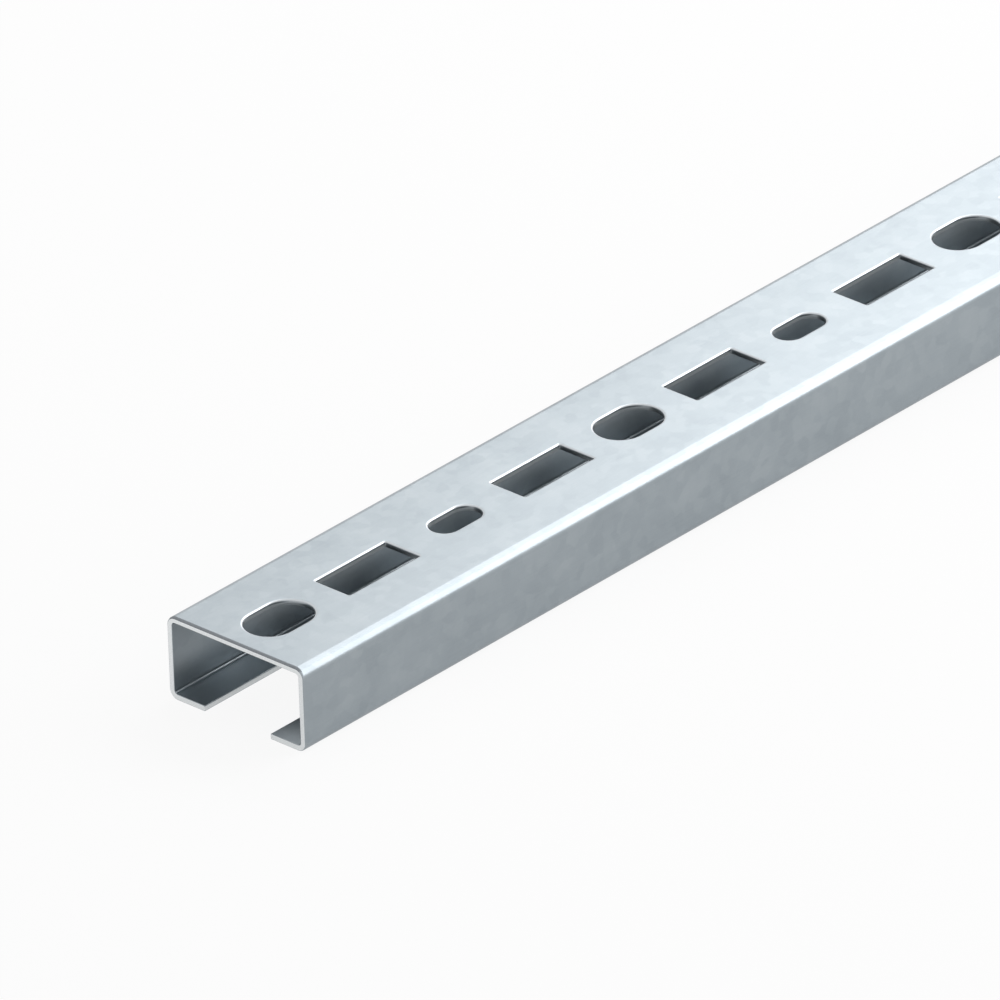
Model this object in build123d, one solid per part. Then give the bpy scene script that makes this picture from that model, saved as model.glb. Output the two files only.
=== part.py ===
from build123d import *

import os

# Slotted C-profile rail: one strip of zinc-coated steel, rolled into a channel with two plain lips.
# +X runs along the rail, +Y across it and +Z up. The rail lies on its lips with the web on top.
# The origin is at the middle of the length and the width, level with the underside of the lips.
# All sizes are in millimetres.

# The cold-rolled section.
length = 500.0
width = 35.0
height = 18.0
thickness = 1.25
outer_bend_radius = 2.0
mouth_width = 17.0

# The punched row of holes along the middle of the web.
hole_pitch = 25.0
big_slot_length = 15.5
big_slot_width = 10.5
window_length = 20.0
window_width = 9.0
window_corner_radius = 0.3
small_slot_length = 12.5
small_slot_width = 6.5

# Places that follow from the sizes above.
inner_bend_radius = outer_bend_radius - thickness
hole_count = round(length / hole_pitch)
first_hole_x = -(hole_count - 1) * hole_pitch / 2
web_middle_z = height - thickness / 2
punch_height = 4 * thickness


def channel_section():
    """The rail's cross-section, drawn on the plane that looks along the rail."""
    outside = Pos(0, height / 2) * RectangleRounded(width, height, outer_bend_radius)
    inside = Pos(0, height / 2) * RectangleRounded(
        width - 2 * thickness, height - 2 * thickness, inner_bend_radius
    )
    mouth = Pos(0, thickness / 2) * Rectangle(mouth_width, 2 * thickness)
    return outside - inside - mouth


def big_slot():
    return SlotOverall(big_slot_length, big_slot_width)


def window():
    return RectangleRounded(window_length, window_width, window_corner_radius)


def small_slot():
    return SlotOverall(small_slot_length, small_slot_width)


# The punches come round in this order, one on each pitch.
punch_order = (big_slot, window, small_slot, window)


def punches():
    """One upright cutter for each hole of the row, from one end of the rail to the other."""
    cutters = []
    for index in range(hole_count):
        outline = punch_order[index % len(punch_order)]()
        hole_x = first_hole_x + index * hole_pitch
        cutter = extrude(outline, punch_height / 2, both=True)
        cutters.append(Pos(hole_x, 0, web_middle_z) * cutter)
    return cutters


def channel_rail():
    """The whole rail: the section run along X, with the row of holes punched through its web."""
    rail = extrude(Plane.YZ * channel_section(), length / 2, both=True)
    rail -= punches()
    return rail


os.makedirs("parts", exist_ok=True)
rail = channel_rail()
rail.label = "channel_rail"
export_step(rail, "parts/channel_rail.step")
print("channel_rail volume", round(rail.volume), "mm3")
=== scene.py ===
import math

import bmesh
import bpy
from mathutils import Matrix, Vector


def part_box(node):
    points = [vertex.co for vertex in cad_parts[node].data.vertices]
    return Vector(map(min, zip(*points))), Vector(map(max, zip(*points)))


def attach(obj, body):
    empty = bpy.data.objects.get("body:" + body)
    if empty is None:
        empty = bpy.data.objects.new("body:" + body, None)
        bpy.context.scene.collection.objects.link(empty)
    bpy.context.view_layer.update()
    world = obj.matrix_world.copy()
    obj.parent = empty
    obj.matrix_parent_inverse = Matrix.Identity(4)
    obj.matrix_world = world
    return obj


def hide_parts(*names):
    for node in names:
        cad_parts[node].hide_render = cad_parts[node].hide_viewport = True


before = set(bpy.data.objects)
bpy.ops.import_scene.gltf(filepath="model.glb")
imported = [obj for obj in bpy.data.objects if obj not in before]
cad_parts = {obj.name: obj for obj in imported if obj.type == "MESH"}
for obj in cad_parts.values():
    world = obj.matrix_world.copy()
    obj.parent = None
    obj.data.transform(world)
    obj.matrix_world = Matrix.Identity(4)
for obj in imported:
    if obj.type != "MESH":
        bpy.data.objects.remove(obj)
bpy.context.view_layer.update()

# A length of slotted channel rail in zinc-coated steel, lying on its lips on a white floor.
# Lengths are in metres. +X runs along the rail, +Y across it and +Z up.

MM = 0.001
NODE = "channel_rail"
low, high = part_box(NODE)

# The rolled strip.
WALL = 1.25 * MM
BEND_OUTSIDE = 2.0 * MM
BEND_INSIDE = BEND_OUTSIDE - WALL
MOUTH = 17.0 * MM
BEND_STEPS = 10
SLIT_EDGE = 0.18 * MM
SLIT_STEPS = 3

# The punched row: pitch, and each opening's length and width.
PITCH = 25.0 * MM
BIG_SLOT = (15.5 * MM, 10.5 * MM)
WINDOW = (20.0 * MM, 9.0 * MM)
WINDOW_CORNER = 0.3 * MM
SMALL_SLOT = (12.5 * MM, 6.5 * MM)
PUNCH_ORDER = ("big", "window", "small", "window")

# How the punch leaves an edge: drawn in on top, straight, then broken away with a burr below.
# Its rims are painted lighter, partly as the punch's burnish and partly as painted highlight:
# fully a few rings down the draw-in, and partly where the break starts.
DRAW_IN = 0.45 * MM
DRAW_DEPTH = 0.26 * MM
BREAK_START = 0.55 * MM
BREAK_FLARE = 0.07 * MM
BREAK_WEAR_AND_SHEEN = 0.4
DRAW_STEPS = 5
WEAR_AND_SHEEN_STEPS = 2
ARC_STEPS = 20
CORNER_STEPS = 3

# How the shear leaves the cut ends: it draws the web's outer edge over further than the others,
# and reaches further along the rail than it sinks. The web's rounded cut edge is painted dark, as
# painted shade, down to a third of the outer bend below the web's face.
END_DRAW_WEB = 0.36 * MM
END_DRAW_REACH = 1.6
END_DRAW_SIDE = 0.14 * MM
END_DRAW_INSIDE = 0.10 * MM
END_STEPS = 5
SHADED_EDGE_BAND = BEND_OUTSIDE / 3


# ---------------------------------------------------------------- shape helpers

def arc(centre, radius, start, end, steps):
    """Points on an arc in a plane, from one angle to another in degrees."""
    points = []
    for step in range(steps + 1):
        angle = math.radians(start + (end - start) * step / steps)
        points.append((centre[0] + radius * math.cos(angle), centre[1] + radius * math.sin(angle)))
    return points


def strip_section():
    """The strip followed from the right lip's tip to the left lip's tip.

    Each entry is a pair of points (y, z): one on the rail's outer skin and one on its inner skin."""
    half = (high.y - low.y) / 2
    top = high.z
    flat = half - BEND_OUTSIDE
    tip = MOUTH / 2
    outer_low = arc((flat, BEND_OUTSIDE), BEND_OUTSIDE, -90, 0, BEND_STEPS)
    inner_low = arc((flat, BEND_OUTSIDE), BEND_INSIDE, -90, 0, BEND_STEPS)
    outer_high = arc((flat, top - BEND_OUTSIDE), BEND_OUTSIDE, 0, 90, BEND_STEPS)
    inner_high = arc((flat, top - BEND_OUTSIDE), BEND_INSIDE, 0, 90, BEND_STEPS)
    tip_pairs = []
    for step in range(SLIT_STEPS + 1):
        turn = math.radians(90 * step / SLIT_STEPS)
        y = tip + SLIT_EDGE * (1 - math.sin(turn))
        rise = SLIT_EDGE * (1 - math.cos(turn))
        tip_pairs.append(((y, rise), (y, WALL - rise)))
    tip_pairs.reverse()
    left = tip_pairs + list(zip(outer_low, inner_low)) + list(zip(outer_high, inner_high))
    right = [((-o[0], o[1]), (-i[0], i[1])) for o, i in left]
    return right + left[::-1]


def slot_outline(size, grow):
    """A slot with round ends, grown outward by a margin."""
    radius = size[1] / 2 + grow
    reach = (size[0] - size[1]) / 2
    right = arc((reach, 0), radius, -90, 90, ARC_STEPS)
    left = arc((-reach, 0), radius, 90, 270, ARC_STEPS)
    return right + left


def window_outline(size, grow):
    """A rectangle with small corners, grown outward by a margin."""
    radius = WINDOW_CORNER + grow
    x = size[0] / 2 - WINDOW_CORNER
    y = size[1] / 2 - WINDOW_CORNER
    points = []
    for corner, start in (((x, -y), -90), ((x, y), 0), ((-x, y), 90), ((-x, -y), 180)):
        points += arc(corner, radius, start, start + 90, CORNER_STEPS)
    return points


def punch_outline(kind, grow):
    """The outline of one kind of hole about its own centre, grown outward by a margin."""
    if kind == "big":
        return slot_outline(BIG_SLOT, grow)
    if kind == "small":
        return slot_outline(SMALL_SLOT, grow)
    return window_outline(WINDOW, grow)


def punch_levels():
    """The rings down a punched edge, from the outer skin to the inner one: margin, height, and share of
    burnish and painted highlight.
    """
    levels = []
    for step in range(DRAW_STEPS + 1):
        turn = math.radians(90 * step / DRAW_STEPS)
        margin, depth = DRAW_IN * (1 - math.sin(turn)), DRAW_DEPTH * (1 - math.cos(turn))
        levels.append((margin, high.z - depth, min(1.0, step / WEAR_AND_SHEEN_STEPS)))
    levels.append((0.0, high.z - BREAK_START, BREAK_WEAR_AND_SHEEN))
    levels.append((BREAK_FLARE, high.z - WALL, 0.0))
    return levels


def end_levels():
    """Steps in from a cut end, as shares of the shear's reach along the rail and of its draw."""
    levels = []
    for step in range(END_STEPS + 1):
        turn = math.radians(90 * step / END_STEPS)
        levels.append((1 - math.cos(turn), 1 - math.sin(turn)))
    return levels


# ---------------------------------------------------------------- the rail's skin

# Material places on the rail, the last one painted dark as shade, and the name of the corners' value for
# burnish and painted highlight.
ZINC, CUT, SHADED_EDGE = 0, 1, 2
WEAR_AND_SHEEN = "wear_and_sheen"

# Heights that differ by less than this are the same.
SAME = 1e-9


class RailMesh:
    """Gathers the rail's faces, sharing the corners that meet."""

    def __init__(self):
        self.mesh = bmesh.new()
        self.wear_and_sheen = self.mesh.verts.layers.float.new(WEAR_AND_SHEEN)
        self.corners = {}

    def vertex(self, x, y, z):
        """The corner at a place, made once."""
        key = (round(x / MM, 4), round(y / MM, 4), round(z / MM, 4))
        if key not in self.corners:
            self.corners[key] = self.mesh.verts.new((x, y, z))
        return self.corners[key]

    def add_wear_and_sheen(self, points, amount):
        """Marks corners, from 0 to 1, with the punch's burnish and a painted highlight, both shown as
        lighter colour.
        """
        for point in points:
            self.vertex(*point)[self.wear_and_sheen] = amount

    def face(self, points, material=ZINC):
        """A face between corners, left out where they close up."""
        corners = [self.vertex(*point) for point in points]
        distinct = list(dict.fromkeys(corners))
        if len(distinct) < 3:
            return
        made = self.mesh.faces.new(distinct)
        made.smooth = True
        made.material_index = material

    def flat_with_hole(self, outside, inside, upward):
        """A flat zinc face that has one opening, filled with triangles."""
        edges = []
        for loop in (outside, inside):
            corners = [self.vertex(*point) for point in loop]
            for a, b in zip(corners, corners[1:] + corners[:1]):
                edge = self.mesh.edges.get((a, b)) or self.mesh.edges.new((a, b))
                edges.append(edge)
        filled = bmesh.ops.triangle_fill(self.mesh, use_beauty=True, edges=edges, normal=(0, 0, 1))
        for made in filled["geom"]:
            if isinstance(made, bmesh.types.BMFace):
                made.smooth = True
                made.material_index = ZINC
                if (made.normal.z > 0) != upward:
                    made.normal_flip()


def hole_count():
    """How many pitches, and so how many holes, fill the rail's length."""
    return round((high.x - low.x) / PITCH)


def stations():
    """Where the long faces are divided: each punch has a cell of one pitch."""
    count = hole_count()
    return [low.x + index * (high.x - low.x) / count for index in range(count + 1)]


def end_draw(outer):
    """How far the shear drags one outer point: furthest on the web, least on the sides and lips."""
    level = min(1.0, max(0.0, 1 - (high.z - outer[1]) / BEND_OUTSIDE))
    return END_DRAW_SIDE + (END_DRAW_WEB - END_DRAW_SIDE) * level


def ring_at(pairs, end, toward, reach, draw):
    """The section's outer and inner points near a cut end, or at a plain station with no draw."""
    ring = []
    for outer, inner in pairs:
        across = Vector((inner[0] - outer[0], inner[1] - outer[1])).normalized()
        o = Vector(outer) + across * end_draw(outer) * draw
        i = Vector(inner) - across * END_DRAW_INSIDE * draw
        step = toward * reach * END_DRAW_REACH
        ring.append(((end + step * end_draw(outer), o.x, o.y), (end + step * END_DRAW_INSIDE, i.x, i.y)))
    return ring


def is_web(pairs, index):
    """True for the flat of the web, between the two upper bends."""
    a, b = pairs[index][0], pairs[index + 1][0]
    return abs(a[1] - high.z) < SAME and abs(b[1] - high.z) < SAME and a[0] * b[0] < 0


def build_rail():
    """The rail as one skin: the rolled section run from end to end, with its row of holes."""
    rail = RailMesh()
    pairs = strip_section()
    levels = end_levels()
    sections = [ring_at(pairs, low.x, 1, reach, draw) for reach, draw in levels]
    sections += [ring_at(pairs, place, 1, 0, 0) for place in stations()[1:-1]]
    sections += [ring_at(pairs, high.x, -1, reach, draw) for reach, draw in reversed(levels)]
    for number, (ring, after) in enumerate(zip(sections, sections[1:])):
        at_end = number < END_STEPS or number >= len(sections) - 1 - END_STEPS
        for index in range(len(pairs) - 1):
            if is_web(pairs, index) and not at_end:
                continue
            # Near the ends, the web's rounded edge gets the dark material: painted shade.
            outer = SHADED_EDGE if at_end and ring[index][0][2] > high.z - SHADED_EDGE_BAND else ZINC
            rail.face([ring[index][0], ring[index + 1][0], after[index + 1][0], after[index][0]], outer)
            rail.face([ring[index][1], after[index][1], after[index + 1][1], ring[index + 1][1]])
        rail.face([ring[0][0], after[0][0], after[0][1], ring[0][1]], material=CUT)
        rail.face([ring[-1][0], ring[-1][1], after[-1][1], after[-1][0]], material=CUT)
    for ring, toward in ((sections[0], -1), (sections[-1], 1)):
        for index in range(len(pairs) - 1):
            corners = [ring[index][0], ring[index][1], ring[index + 1][1], ring[index + 1][0]]
            rail.face(corners if toward > 0 else corners[::-1], material=CUT)
    punch_web(rail, pairs, sections[END_STEPS:len(sections) - END_STEPS])
    bmesh.ops.recalc_face_normals(rail.mesh, faces=rail.mesh.faces)
    data = bpy.data.meshes.new("rolled_rail")
    rail.mesh.to_mesh(data)
    rail.mesh.free()
    made = bpy.data.objects.new("rolled_rail", data)
    bpy.context.scene.collection.objects.link(made)
    return made


def punch_web(rail, pairs, sections):
    """The web's two flat skins, one cell at a time, and each opening's wall between them."""
    web = next(index for index in range(len(pairs) - 1) if is_web(pairs, index))
    levels = punch_levels()
    for number, (ring, after_ring) in enumerate(zip(sections, sections[1:])):
        kind = PUNCH_ORDER[number % len(PUNCH_ORDER)]
        middle = low.x + (number + 0.5) * PITCH
        loops = []
        for grow, z, wear_and_sheen in levels:
            loops.append([(middle + x, y, z) for x, y in punch_outline(kind, grow)])
            rail.add_wear_and_sheen(loops[-1], wear_and_sheen)
        for loop, below in zip(loops, loops[1:]):
            for index in range(len(loop)):
                after = (index + 1) % len(loop)
                rail.face([loop[index], loop[after], below[after], below[index]])
        for skin, loop, upward in ((0, loops[0], True), (1, loops[-1], False)):
            outside = [ring[web][skin], after_ring[web][skin]]
            outside += [after_ring[web + 1][skin], ring[web + 1][skin]]
            rail.flat_with_hole(outside, loop, upward)


# ---------------------------------------------------------------- materials

# How large the marks on the metal are, and how high their relief stands.
SPANGLE = 2.6 * MM
SPANGLE_WANDER = 0.6
SPANGLE_WANDER_SIZE = 0.7
SPANGLE_SOFTNESS = 0.35
BLOOM = 9 * MM
GRAIN = 0.35 * MM
ROLL_STREAK = 0.5 * MM
ROLL_WAVE = 3.5 * MM
ZINC_RELIEF = 0.012 * MM
CUT_GRAIN = 0.12 * MM
TEAR = 0.4 * MM
CUT_RELIEF = 0.01 * MM
SHADED_EDGE_STREAK = 0.5 * MM
SHADED_EDGE_RELIEF = 0.006 * MM

# Each finish: its colours along its tone, and its roughness from least to most.
ZINC_SHADES = ((0.30, (0.302, 0.339, 0.365)),
               (0.50, (0.335, 0.373, 0.399)),
               (0.70, (0.372, 0.409, 0.432)))
ZINC_ROUGHNESS = (0.25, 0.43)
# Punched rims blend towards this lighter colour: partly burnish, partly painted highlight.
POLISH_AND_HIGHLIGHT = (0.62, 0.65, 0.67)
POLISH_AND_HIGHLIGHT_SHARE = (-0.2, 0.95)
# Cut faces are painted brighter than bare steel reflects: partly real, partly painted light.
CUT_SHADES = ((0.3, (0.74, 0.765, 0.775)), (0.7, (0.92, 0.94, 0.945)))
CUT_ROUGHNESS = (0.42, 0.62)
# The web's cut edge is painted dark with these colours: painted shade.
SHADED_EDGE_COLOURS = ((0.3, (0.175, 0.19, 0.205)), (0.7, (0.24, 0.258, 0.275)))
SHADED_EDGE_ROUGHNESS = (0.36, 0.5)


def new_material(name):
    """An empty material, with its nodes and links."""
    material = bpy.data.materials.new(name)
    material.use_nodes = True
    nodes = material.node_tree.nodes
    nodes.clear()
    return material, nodes, material.node_tree.links


def pattern(nodes, links, size, stretch=(1, 1, 1), detail=2.0):
    """Noise from 0 to 1 over the object, with features of about one size, drawn out along an axis."""
    where = nodes.new("ShaderNodeTexCoord")
    scaled = nodes.new("ShaderNodeMapping")
    scaled.inputs["Scale"].default_value = [1 / (size * drawn) for drawn in stretch]
    noise = nodes.new("ShaderNodeTexNoise")
    noise.inputs["Scale"].default_value = 1.0
    noise.inputs["Detail"].default_value = detail
    links.new(where.outputs["Object"], scaled.inputs["Vector"])
    links.new(scaled.outputs["Vector"], noise.inputs["Vector"])
    return noise.outputs["Fac"]


def crystals(nodes, links, size):
    """A value from 0 to 1 for each zinc crystal, whose outlines wander a little."""
    where = nodes.new("ShaderNodeTexCoord")
    wander = nodes.new("ShaderNodeTexNoise")
    wander.inputs["Scale"].default_value = 1 / (SPANGLE_WANDER_SIZE * size)
    shift = nodes.new("ShaderNodeVectorMath")
    shift.operation = "MULTIPLY_ADD"
    shift.inputs[1].default_value = [SPANGLE_WANDER * size] * 3
    cells = nodes.new("ShaderNodeTexVoronoi")
    cells.feature = "SMOOTH_F1"
    cells.inputs["Scale"].default_value = 1 / size
    cells.inputs["Smoothness"].default_value = SPANGLE_SOFTNESS
    split = nodes.new("ShaderNodeSeparateColor")
    links.new(where.outputs["Object"], wander.inputs["Vector"])
    links.new(wander.outputs["Color"], shift.inputs[0])
    links.new(where.outputs["Object"], shift.inputs[2])
    links.new(shift.outputs["Vector"], cells.inputs["Vector"])
    links.new(cells.outputs["Color"], split.inputs["Color"])
    return split.outputs["Red"]


def weighted(nodes, links, parts):
    """The sum of several values, each with its weight."""
    total = None
    for value, weight in parts:
        scaled = nodes.new("ShaderNodeMath")
        scaled.operation = "MULTIPLY_ADD"
        links.new(value, scaled.inputs[0])
        scaled.inputs[1].default_value = weight
        scaled.inputs[2].default_value = 0.0
        if total is not None:
            links.new(total, scaled.inputs[2])
        total = scaled.outputs[0]
    return total


def spread(nodes, links, value, start, end):
    """A value from 0 to 1 mapped onto a range."""
    mapped = nodes.new("ShaderNodeMapRange")
    mapped.inputs["To Min"].default_value = start
    mapped.inputs["To Max"].default_value = end
    links.new(value, mapped.inputs["Value"])
    return mapped.outputs["Result"]


def shades(nodes, links, value, stops):
    """Colours along a value, given as (place, colour) pairs."""
    ramp = nodes.new("ShaderNodeValToRGB")
    keys = ramp.color_ramp.elements
    while len(keys) < len(stops):
        keys.new(0.5)
    for key, (place, colour) in zip(keys, stops):
        key.position = place
        key.color = (*colour, 1)
    links.new(value, ramp.inputs["Fac"])
    return ramp.outputs["Color"]


def blend(nodes, links, share, colour, other):
    """A colour that passes into another one by a share."""
    mix = nodes.new("ShaderNodeMix")
    mix.data_type = "RGBA"
    mix.clamp_factor = True
    mix.inputs["B"].default_value = (*other, 1)
    links.new(share, mix.inputs["Factor"])
    links.new(colour, mix.inputs["A"])
    return mix.outputs["Result"]


def relief(nodes, links, value, height):
    """A normal from a height map whose full range is a given height."""
    bump = nodes.new("ShaderNodeBump")
    bump.inputs["Distance"].default_value = height
    links.new(value, bump.inputs["Height"])
    return bump.outputs["Normal"]


def metal(name, build):
    """A metallic material whose colour, roughness and relief come from a builder function."""
    material, nodes, links = new_material(name)
    output = nodes.new("ShaderNodeOutputMaterial")
    shader = nodes.new("ShaderNodeBsdfPrincipled")
    shader.inputs["Metallic"].default_value = 1.0
    colour, roughness, normal = build(nodes, links)
    links.new(colour, shader.inputs["Base Color"])
    links.new(roughness, shader.inputs["Roughness"])
    links.new(normal, shader.inputs["Normal"])
    links.new(shader.outputs["BSDF"], output.inputs["Surface"])
    return material


def zinc(nodes, links):
    """Strip-galvanised steel: small soft spangle, a cloudy bloom and faint marks of the rolls."""
    spangle = crystals(nodes, links, SPANGLE)
    bloom = pattern(nodes, links, BLOOM, detail=4)
    grain = pattern(nodes, links, GRAIN, detail=3)
    streaks = pattern(nodes, links, ROLL_STREAK, stretch=(60, 1, 1), detail=3)
    waves = pattern(nodes, links, ROLL_WAVE, stretch=(1.6, 1, 1), detail=2)
    tone = weighted(nodes, links, ((spangle, 0.18), (bloom, 0.46), (grain, 0.18), (streaks, 0.18)))
    colour = shades(nodes, links, tone, ZINC_SHADES)
    wear_and_sheen = nodes.new("ShaderNodeAttribute")
    wear_and_sheen.attribute_name = WEAR_AND_SHEEN
    # Punched rims are painted lighter here: partly burnish, partly painted highlight.
    polish_and_highlight = weighted(nodes, links, ((wear_and_sheen.outputs["Fac"], 0.75), (grain, 0.25)))
    colour = blend(nodes, links, spread(nodes, links, polish_and_highlight, *POLISH_AND_HIGHLIGHT_SHARE), colour, POLISH_AND_HIGHLIGHT)
    haze = weighted(nodes, links, ((bloom, 0.4), (grain, 0.3), (streaks, 0.3)))
    height = weighted(nodes, links, ((waves, 1.0), (spangle, 0.10), (grain, 0.06), (streaks, 0.04)))
    return colour, spread(nodes, links, haze, *ZINC_ROUGHNESS), relief(nodes, links, height, ZINC_RELIEF)


def sheared(nodes, links):
    """A freshly cut face, fine-grained and torn a little across the strip. It is painted brighter than
    steel reflects: partly its real brightness, partly painted light.
    """
    grain = pattern(nodes, links, CUT_GRAIN, detail=3)
    tear = pattern(nodes, links, TEAR, stretch=(1, 1, 0.4), detail=2)
    tone = weighted(nodes, links, ((grain, 0.5), (tear, 0.5)))
    colour = shades(nodes, links, tone, CUT_SHADES)
    return colour, spread(nodes, links, tone, *CUT_ROUGHNESS), relief(nodes, links, tone, CUT_RELIEF)


def painted_shade_edge(nodes, links):
    """The web's rounded cut edges, painted dark as painted shade."""
    grain = pattern(nodes, links, CUT_GRAIN, detail=3)
    edge_streak = pattern(nodes, links, SHADED_EDGE_STREAK, stretch=(0.5, 1, 1), detail=2)
    tone = weighted(nodes, links, ((grain, 0.4), (edge_streak, 0.6)))
    colour = shades(nodes, links, tone, SHADED_EDGE_COLOURS)
    return colour, spread(nodes, links, tone, *SHADED_EDGE_ROUGHNESS), relief(nodes, links, tone, SHADED_EDGE_RELIEF)


# ---------------------------------------------------------------- the room

# How far the floor shows plain white in place of its lit face: to the camera, and to the metal.
FLOOR_WHITE_SEEN = 0.9
FLOOR_WHITE_MIRRORED = 0.48
FLOOR_COLOUR = (0.93, 0.93, 0.93, 1)
WHITE = (1, 1, 1, 1)
FLOOR_RADIUS = 30.0
FLOOR_STEPS = 96


def share_of_white(nodes, links, seen, mirrored):
    """How much plain white is shown to the camera, and to what mirrors or refracts it."""
    path = nodes.new("ShaderNodeLightPath")
    rays = (("Is Camera Ray", seen),
            ("Is Glossy Ray", mirrored),
            ("Is Transmission Ray", mirrored))
    return weighted(nodes, links, [(path.outputs[ray], share) for ray, share in rays])


def build_floor():
    """A wide round floor, level with what the rail lies on."""
    mesh = bmesh.new()
    ring = [mesh.verts.new((x, y, low.z)) for x, y in arc((0, 0), FLOOR_RADIUS, 0, 360, FLOOR_STEPS)[:-1]]
    mesh.faces.new(ring)
    data = bpy.data.meshes.new("floor")
    mesh.to_mesh(data)
    mesh.free()
    floor = bpy.data.objects.new("floor", data)
    bpy.context.scene.collection.objects.link(floor)
    material, nodes, links = new_material("white_floor")
    output = nodes.new("ShaderNodeOutputMaterial")
    matt = nodes.new("ShaderNodeBsdfDiffuse")
    matt.inputs["Color"].default_value = FLOOR_COLOUR
    white = nodes.new("ShaderNodeEmission")
    white.inputs["Color"].default_value = WHITE
    white.inputs["Strength"].default_value = 1.0
    mix = nodes.new("ShaderNodeMixShader")
    links.new(share_of_white(nodes, links, FLOOR_WHITE_SEEN, FLOOR_WHITE_MIRRORED), mix.inputs[0])
    links.new(matt.outputs[0], mix.inputs[1])
    links.new(white.outputs[0], mix.inputs[2])
    links.new(mix.outputs[0], output.inputs["Surface"])
    data.materials.append(material)


# The softboxes stand beyond the far end, where the metal mirrors them to the camera. They share an
# arc round the rail's own line, ARC_TILT degrees off it. A swing of 0 is straight above that line,
# and a positive one leans towards -Y. The two lamps meet at SWING_SEAM.
ARC_TILT = 41.0
LAMP_DISTANCE = 1.0
LAMP_DEPTH = 0.50
SWING_START = -49.5
SWING_SEAM = 22
SWING_END = 87
RADIANCE_ABOVE = 2.33
RADIANCE_RIGHT = 3.1
LIT_FROM_END = 20 * MM


def add_softbox(name, start, end, radiance, aim):
    """A rectangular lamp that faces the rail and fills a span of swing, at a given brightness."""
    tilt, turn = math.radians(ARC_TILT), math.radians((start + end) / 2)
    away = Vector((math.cos(tilt), -math.sin(tilt) * math.sin(turn), math.sin(tilt) * math.cos(turn)))
    along = Vector((0, -math.cos(turn), -math.sin(turn)))
    across = away.cross(along)
    lamp = bpy.data.lights.new(name, "AREA")
    lamp.shape = "RECTANGLE"
    lamp.size = 2 * LAMP_DISTANCE * math.sin(tilt) * math.tan(math.radians((end - start) / 2))
    lamp.size_y = LAMP_DEPTH
    lamp.energy = radiance * math.pi * lamp.size * lamp.size_y
    made = bpy.data.objects.new(name, lamp)
    bpy.context.scene.collection.objects.link(made)
    turned = Matrix((along, across, away)).transposed()
    made.matrix_world = Matrix.Translation(aim + away * LAMP_DISTANCE) @ turned.to_4x4()
    made.visible_camera = False


# The room lights matt surfaces evenly at AMBIENT. The camera and the metal see it as plain white.
AMBIENT = 0.5


def build_world():
    """Even studio light from all round, in a room whose walls are white."""
    world = bpy.data.worlds.new("studio")
    bpy.context.scene.world = world
    world.use_nodes = True
    nodes, links = world.node_tree.nodes, world.node_tree.links
    nodes.clear()
    output = nodes.new("ShaderNodeOutputWorld")
    light = nodes.new("ShaderNodeBackground")
    light.inputs["Color"].default_value = WHITE
    light.inputs["Strength"].default_value = AMBIENT
    white = nodes.new("ShaderNodeBackground")
    white.inputs["Color"].default_value = WHITE
    white.inputs["Strength"].default_value = 1.0
    mix = nodes.new("ShaderNodeMixShader")
    links.new(share_of_white(nodes, links, 1.0, 1.0), mix.inputs[0])
    links.new(light.outputs[0], mix.inputs[1])
    links.new(white.outputs[0], mix.inputs[2])
    links.new(mix.outputs[0], output.inputs["Surface"])


# The camera stands far off beyond the shown end, on the rail's -Y side. Its angles are in degrees.
VIEW_AZIMUTH = -47.134
VIEW_ELEVATION = 28.654
VIEW_ROLL = -1.943
VIEW_DISTANCE = 3.786
LENS = 710.9
AIM_ALONG = 73.468 * MM
AIM_ACROSS = -1.644 * MM


def build_camera():
    """A long lens that looks near the web's middle line, a little way in from the shown end."""
    data = bpy.data.cameras.new("camera")
    data.lens = LENS
    data.sensor_width = 36.0
    data.clip_start = 0.01
    data.clip_end = 200.0
    camera = bpy.data.objects.new("camera", data)
    bpy.context.scene.collection.objects.link(camera)
    azimuth = math.radians(VIEW_AZIMUTH)
    elevation = math.radians(VIEW_ELEVATION)
    look = Vector((-math.sin(azimuth) * math.cos(elevation),
                   math.cos(azimuth) * math.cos(elevation),
                   -math.sin(elevation)))
    aim = Vector((low.x + AIM_ALONG, AIM_ACROSS, high.z))
    turn = look.to_track_quat("-Z", "Y").to_matrix().to_4x4()
    roll = Matrix.Rotation(math.radians(VIEW_ROLL), 4, "Z")
    camera.matrix_world = Matrix.Translation(aim - look * VIEW_DISTANCE) @ turn @ roll
    bpy.context.scene.camera = camera


# ---------------------------------------------------------------- put together

rail = build_rail()
rail.data.materials.append(metal("zinc_coated_steel", zinc))
rail.data.materials.append(metal("sheared_end", sheared))
rail.data.materials.append(metal("cut_edge_painted_shade", painted_shade_edge))
shading = rail.modifiers.new("even_shading", "WEIGHTED_NORMAL")
shading.weight = 100
shading.keep_sharp = True
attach(rail, "root")
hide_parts(NODE)

build_floor()
build_world()
lit = Vector((low.x + LIT_FROM_END, 0, high.z))
add_softbox("softbox_above", SWING_START, SWING_SEAM, RADIANCE_ABOVE, lit)
add_softbox("softbox_right", SWING_SEAM, SWING_END, RADIANCE_RIGHT, lit)
build_camera()

bpy.context.scene.view_settings.view_transform = "Standard"
